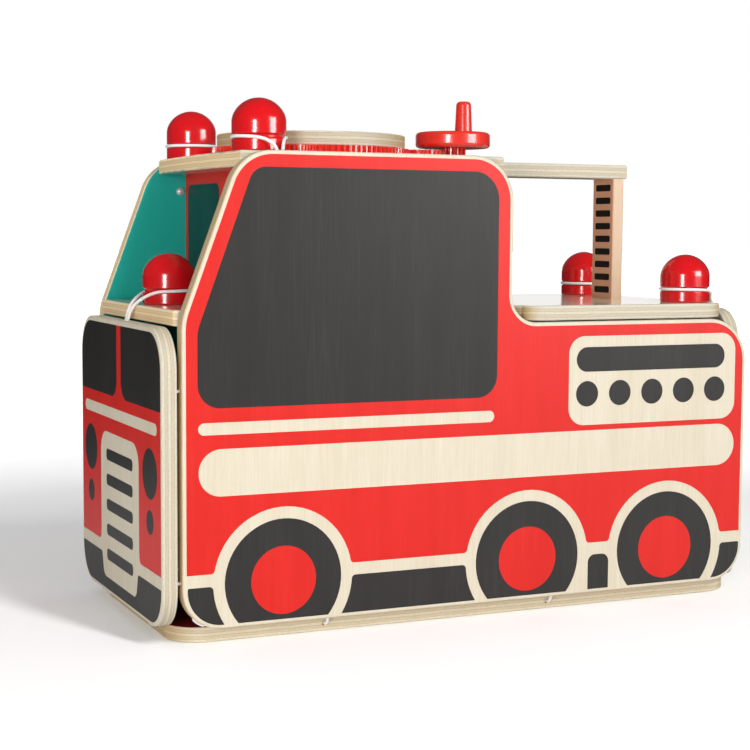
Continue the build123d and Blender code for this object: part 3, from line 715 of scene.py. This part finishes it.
def face_frame(origin, across, up, outward):
    """The frame of a face: millimetres across, up and outward from an origin in metres."""
    columns = [Vector(direction) * MM for direction in (across, up, outward)]
    return Matrix.Translation(origin) @ Matrix(columns).transposed().to_4x4()


# Inks: how far they are sunk into the wood, and how thick they are, where a thick one can lie over a thin one
INK_SINK = 0.02
THIN_INK = 0.06
THICK_INK = 0.10
red_ink = ink_material("red_ink", RED, Z, streak=0.02, roughness=0.36, shine=0.22)
black_ink = ink_material("black_ink", CHARCOAL, Z, streak=0.022, roughness=0.38)
rung_ink = ink_material("rung_ink", SOOT, Z, streak=0.01)
window_ink = ink_material("window_ink", WINDOW_GREEN, Z, streak=0.05, roughness=0.3)

# Side panel: its outline, measured from the front and up from the table, and the bare margin round its prints
MARGIN = 2.8
SIDE_LENGTH = 455.5
SIDE_RIGHT = SIDE_LENGTH - MARGIN
CAB_LENGTH = 249
WINDSCREEN_FOOT = 221
WINDSCREEN_LEAN = 42.3
BODY_TOP = 215.5
REAR_CORNER = 33
NOTCH_CORNER = 20
ROOF_CORNER = 32
WAIST_CORNER = 40

# Wheels, bumper line and red field
WHEELS = (72.5, 264, 384)
AXLE_HEIGHT = 41.6
TYRE_RADIUS = 42.8
ARCH_RADIUS = 51
HUB_RADIUS = 23.8
INK_FOOT = 14.3
BUMPER_TOP = 41
BUMPER_LEAN = 0.8
RED_FOOT = 49.6
PRINT_CORNER = 25.2
JOIN_RADIUS = 3
TIP_RADIUS = 1

# Stripes and windows, as left, right, low, high and corner radius, or as corners with a radius each
THIN_STRIPE = (11.2, 235, 144, 152.3, 4.1)
BROAD_STRIPE = (11.4, 446, 102.2, 134.4, 16)
REAR_FRAME = (297, 445.6, 138.4, 204.6, 13)
REAR_WINDOW = (303.5, 435.6, 178.1, 196.4, 9)
CAB_WINDOW = ((10.9, 162, 16), (237, 162, 16), (237, 323.6, 20), (51, 323.6, 12), (10.9, 214, 30))
ROUND_WINDOWS = 5
ROUND_WINDOW_START = 312.8
ROUND_WINDOW_STEP = 28.475
ROUND_WINDOW_HEIGHT = 161.7
ROUND_WINDOW_RADIUS = 9.5
SLOT_LEFT, SLOT_RIGHT, SLOT_TOP, SLOT_CORNER = 315.8, 333.7, 40.5, 6


def arch_angle(height):
    """The angle in degrees at which an arch passes a height, on its right side."""
    up = height - AXLE_HEIGHT
    return degrees(atan2(up, sqrt(ARCH_RADIUS**2 - up**2)))


def arch_over(wheel):
    """A wheel arch over its top, from the red field's foot on its left to the same on its right."""
    low = arch_angle(RED_FOOT)
    passed = arc((wheel, AXLE_HEIGHT), ARCH_RADIUS, 180 - low, low)
    return [(*passed[0][:2], JOIN_RADIUS), *passed[1:-1], (*passed[-1][:2], JOIN_RADIUS)]


def arch_left(wheel):
    """A wheel arch's left side, from the ink's foot up to the bumper's top."""
    top, foot = arch_angle(BUMPER_TOP), arch_angle(INK_FOOT)
    side = arc((wheel, AXLE_HEIGHT), ARCH_RADIUS, 180 - top, 180 - foot)
    return side[:0:-1] + [(wheel - ARCH_RADIUS, BUMPER_TOP, JOIN_RADIUS)]


def arch_right(wheel):
    """A wheel arch's right side, from the bumper's top down to the ink's foot."""
    side = arc((wheel, AXLE_HEIGHT), ARCH_RADIUS, arch_angle(INK_FOOT), arch_angle(BUMPER_TOP))
    return [(wheel + ARCH_RADIUS, BUMPER_TOP, JOIN_RADIUS)] + side[-2::-1]


def side_red():
    """The red field of a side panel, over the bumper line and round the three wheels."""
    slope = WINDSCREEN_LEAN / (ROOF_TOP - WINDSCREEN_FOOT)
    slant_inset = MARGIN * sqrt(1 + slope**2)
    waist = WINDSCREEN_FOOT + (MARGIN - slant_inset) / slope
    top = ROOF_TOP - MARGIN
    lean = (top - WINDSCREEN_FOOT) * slope + slant_inset
    corners = [(MARGIN, RED_FOOT, 0)]
    for wheel in WHEELS:
        corners += arch_over(wheel)
    corners += [
        (SIDE_RIGHT, RED_FOOT, 0),
        (SIDE_RIGHT, BODY_TOP - MARGIN, REAR_CORNER - MARGIN),
        (CAB_LENGTH - MARGIN, BODY_TOP - MARGIN, NOTCH_CORNER + MARGIN),
        (CAB_LENGTH - MARGIN, top, ROOF_CORNER - MARGIN),
        (lean, top, ROOF_CORNER - MARGIN),
        (MARGIN, waist, WAIST_CORNER - MARGIN),
    ]
    return rounded(corners)


def side_bumpers():
    """The black line at a side panel's foot: front bumper, sill, slot between the wheels, rear bumper."""
    front_wheel, middle_wheel, rear_wheel = WHEELS
    foot_corner = PRINT_CORNER - TIP_RADIUS
    front_end = [(MARGIN + BUMPER_LEAN, BUMPER_TOP, TIP_RADIUS), (MARGIN, INK_FOOT, foot_corner)]
    rear_end = [(SIDE_RIGHT, INK_FOOT, foot_corner), (SIDE_RIGHT, BUMPER_TOP, TIP_RADIUS)]
    slot_foot = [(SLOT_LEFT, INK_FOOT, 0), (SLOT_RIGHT, INK_FOOT, 0)]
    slot_top = [(SLOT_RIGHT, SLOT_TOP, SLOT_CORNER), (SLOT_LEFT, SLOT_TOP, SLOT_CORNER)]
    return (
        rounded(front_end + arch_left(front_wheel)),
        rounded(arch_right(front_wheel) + arch_left(middle_wheel)),
        rounded(slot_foot + slot_top),
        rounded(rear_end + arch_right(rear_wheel)),
    )


def side_prints(side, body, face):
    """All the prints of one side panel."""
    bare = [bar(*THIN_STRIPE), bar(*BROAD_STRIPE), bar(*REAR_FRAME)]
    flat_print(side + "_red_field", body, face, THIN_INK, red_ink, side_red(), *bare)
    flat_print(side + "_cab_window", body, face, THICK_INK, black_ink, rounded(CAB_WINDOW))
    places = [ROUND_WINDOW_START + ROUND_WINDOW_STEP * place for place in range(ROUND_WINDOWS)]
    windows = [disc(place, ROUND_WINDOW_HEIGHT, ROUND_WINDOW_RADIUS) for place in places]
    flat_print(side + "_rear_windows", body, face, THICK_INK, black_ink, bar(*REAR_WINDOW), *windows)
    flat_print(side + "_bumpers", body, face, THICK_INK, black_ink, *side_bumpers())
    foot = degrees(acos((AXLE_HEIGHT - INK_FOOT) / TYRE_RADIUS))
    tyres = [rounded(arc((wheel, AXLE_HEIGHT), TYRE_RADIUS, foot - 90, 270 - foot)) for wheel in WHEELS]
    flat_print(side + "_tyres", body, face, THIN_INK, black_ink, *tyres)
    hubs = [disc(wheel, AXLE_HEIGHT, HUB_RADIUS) for wheel in WHEELS]
    flat_print(side + "_hubs", body, face, THICK_INK, red_ink, *hubs)


near_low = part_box("near_panel")[0]
far_low, far_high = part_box("far_panel")
near_face = face_frame((near_low.x, near_low.y, 0), (1, 0, 0), (0, 0, 1), (0, -1, 0))
far_face = face_frame((far_low.x, far_high.y, 0), (1, 0, 0), (0, 0, 1), (0, 1, 0))
side_prints("near", "near_panel", near_face)
side_prints("far", "far_panel", far_face)

# Front panel: red field with a bare grille, windscreen, lamps, grille bars and bumper
FRONT_WIDTH = 213
FRONT_LEFT, FRONT_RIGHT = MARGIN, FRONT_WIDTH - MARGIN
FRONT_PRINT_TOP = 212.5
FRONT_RED_FOOT = 49.5
FRONT_BUMPER_TOP = 40.7
FRONT_STRIPE = (11.4, 201.6, 143.3, 151.6, 4.1)
GRILLE = (
    (61.5, FRONT_RED_FOOT, 5), (55.4, 56, 4), (55.4, 132.5, 16),
    (156.6, 132.5, 16), (156.6, 56, 4), (150.5, FRONT_RED_FOOT, 5),
)
BUMPER_NOTCH = ((155, FRONT_BUMPER_TOP, 3), (150, 23.2, 8), (63, 23.2, 8), (58.5, FRONT_BUMPER_TOP, 3))
GLASS_FOOT, GLASS_CORNER = 160.2, 14
PILLAR_LEFT, PILLAR_RIGHT = 100, 111
LAMP_PLACES = (28.3, 185)
LARGE_LAMP = (116, 17.5)
SMALL_LAMP = (82.6, 8.5)
GRILLE_BARS = 5
BAR_LEFT, BAR_RIGHT, BAR_LOW, BAR_HIGH, BAR_CORNER = 71, 141, 111.5, 120, 3.5
BAR_STEP = 18.7


def front_prints(body, face):
    """All the prints of the front panel."""
    top_corners = [(FRONT_RIGHT, FRONT_PRINT_TOP, PRINT_CORNER), (FRONT_LEFT, FRONT_PRINT_TOP, PRINT_CORNER)]
    red = [(FRONT_LEFT, FRONT_RED_FOOT, 0), *GRILLE, (FRONT_RIGHT, FRONT_RED_FOOT, 0), *top_corners]
    flat_print("front_red_field", body, face, THIN_INK, red_ink, rounded(red), bar(*FRONT_STRIPE))
    glass_left = rounded([
        (FRONT_LEFT, GLASS_FOOT, 0), (PILLAR_LEFT, GLASS_FOOT, GLASS_CORNER),
        (PILLAR_LEFT, FRONT_PRINT_TOP, TIP_RADIUS), (FRONT_LEFT, FRONT_PRINT_TOP, PRINT_CORNER),
    ])
    glass_right = rounded([
        (PILLAR_RIGHT, GLASS_FOOT, GLASS_CORNER), (FRONT_RIGHT, GLASS_FOOT, 0),
        (FRONT_RIGHT, FRONT_PRINT_TOP, PRINT_CORNER), (PILLAR_RIGHT, FRONT_PRINT_TOP, TIP_RADIUS),
    ])
    flat_print("windscreen", body, face, THICK_INK, black_ink, glass_left, glass_right)
    lamps = [disc(place, *lamp) for lamp in (LARGE_LAMP, SMALL_LAMP) for place in LAMP_PLACES]
    flat_print("front_lamps", body, face, THICK_INK, black_ink, *lamps)
    drops = [BAR_STEP * place for place in range(GRILLE_BARS)]
    bars = [bar(BAR_LEFT, BAR_RIGHT, BAR_LOW - drop, BAR_HIGH - drop, BAR_CORNER) for drop in drops]
    flat_print("grille_bars", body, face, THICK_INK, black_ink, *bars)
    bumper = rounded([
        (FRONT_LEFT, INK_FOOT, PRINT_CORNER), (FRONT_RIGHT, INK_FOOT, PRINT_CORNER),
        (FRONT_RIGHT, FRONT_BUMPER_TOP, TIP_RADIUS), *BUMPER_NOTCH,
        (FRONT_LEFT, FRONT_BUMPER_TOP, TIP_RADIUS),
    ])
    flat_print("front_bumper", body, face, THICK_INK, black_ink, bumper)


front_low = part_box("front_panel")[0]
front_face = face_frame((front_low.x, front_low.y, 0), (0, 1, 0), (0, 0, 1), (-1, 0, 0))
front_prints("front_panel", front_face)

# Deck, with wider curves at its rear corners than the CAD deck has. Its outline lies inside its rounded edges
DECK_EDGE = 1.5
DECK_SHOULDER = 38.18
DECK_NARROW, DECK_WIDE = 94.5, 106.5
FRONT_CURVE, SHOULDER_CURVE, REAR_CURVE = 2.5, 10.5, 22
deck_low, deck_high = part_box("deck")
front, tail = deck_low.x / MM + DECK_EDGE, deck_high.x / MM - DECK_EDGE
narrow, wide = DECK_NARROW - DECK_EDGE, DECK_WIDE - DECK_EDGE
shoulder = DECK_SHOULDER + DECK_EDGE
deck_outline = rounded([
    (front, -narrow, FRONT_CURVE), (shoulder, -narrow, 0), (shoulder, -wide, SHOULDER_CURVE),
    (tail, -wide, REAR_CURVE), (tail, wide, REAR_CURVE),
    (shoulder, wide, SHOULDER_CURVE), (shoulder, narrow, 0), (front, narrow, FRONT_CURVE),
])
deck_middle = face_frame((0, 0, (deck_low.z + deck_high.z) / 2), (1, 0, 0), (0, 1, 0), (0, 0, 1))
deck_material = nodes["deck"].material_slots[0].material
deck = sheet_piece("deck_board", "frame", deck_middle, BOARD, deck_material, [deck_outline], DECK_EDGE)
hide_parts("deck")

# Ladder rungs on the post
RUNGS = 9
RUNG_LEFT, RUNG_RIGHT, RUNG_LOW, RUNG_HIGH, RUNG_CORNER = -11.5, 10.5, 232.3, 237.5, 1.3
RUNG_STEP = 10.25
post_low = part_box("ladder_post")[0]
post_face = face_frame((post_low.x, 0, 0), (0, 1, 0), (0, 0, 1), (-1, 0, 0))
climbs = [RUNG_STEP * place for place in range(RUNGS)]
rungs = [bar(RUNG_LEFT, RUNG_RIGHT, RUNG_LOW + climb, RUNG_HIGH + climb, RUNG_CORNER) for climb in climbs]
flat_print("ladder_rungs", "frame", post_face, THICK_INK, rung_ink, *rungs)

# Cab windows on the cross wall behind the windscreen
PANE_INNER, PANE_OUTER, PANE_LOW, PANE_HIGH, PANE_CORNER = 13.5, 88.5, 238, 316, 7
wall_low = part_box("cab_wall_front")[0]
wall_face = face_frame((wall_low.x, 0, 0), (0, 1, 0), (0, 0, 1), (-1, 0, 0))
far_pane = bar(PANE_INNER, PANE_OUTER, PANE_LOW, PANE_HIGH, PANE_CORNER)
near_pane = bar(-PANE_OUTER, -PANE_INNER, PANE_LOW, PANE_HIGH, PANE_CORNER)
flat_print("cab_panes", "frame", wall_face, THIN_INK, window_ink, far_pane, near_pane)

# Floor: white to the camera, with a glow that takes over from the lamps further out.
# Mirrors see it white near the toy and dark further out
FLOOR_SIZE = 40
FLOOR_ROUGHNESS = 0.8
BOUNCE = (0.95, 0.95, 0.95, 1)
MIRROR_DARK = (0.04, 0.04, 0.04, 1)
MIRROR_FADE = (0.45, 1.0)
GLOW_DISTANCE = (0.6, 1.6)
GLOW = (0.12, 1.0)
half = FLOOR_SIZE / 2
floor_mesh = bpy.data.meshes.new("floor")
floor_corners = [(-half, -half, 0), (half, -half, 0), (half, half, 0), (-half, half, 0)]
floor_mesh.from_pydata(floor_corners, [], [(0, 1, 2, 3)])
floor = bpy.data.objects.new("floor", floor_mesh)
bpy.context.scene.collection.objects.link(floor)
floor_material, tree, shader = new_material("pale_floor")
shader.inputs["Roughness"].default_value = FLOOR_ROUGHNESS
shader.inputs["Specular IOR Level"].default_value = 0.0
shader.inputs["Emission Color"].default_value = WHITE
looking = tree.nodes.new("ShaderNodeLightPath").outputs
spot = tree.nodes.new("ShaderNodeTexCoord").outputs["Object"]
distance = add_node(tree, "ShaderNodeVectorMath", n0=spot)
distance.operation = "LENGTH"
away = distance.outputs["Value"]
reflected = blend_colours(tree, ranged(tree, away, MIRROR_FADE, (0, 1)), WHITE, MIRROR_DARK)
unseen = blend_colours(tree, looking["Is Glossy Ray"], BOUNCE, reflected)
floor_colour = blend_colours(tree, looking["Is Camera Ray"], unseen, WHITE)
tree.links.new(floor_colour, shader.inputs["Base Color"])
glow = arithmetic(tree, "MULTIPLY", looking["Is Camera Ray"], ranged(tree, away, GLOW_DISTANCE, GLOW))
tree.links.new(glow, shader.inputs["Emission Strength"])
floor_mesh.materials.append(floor_material)
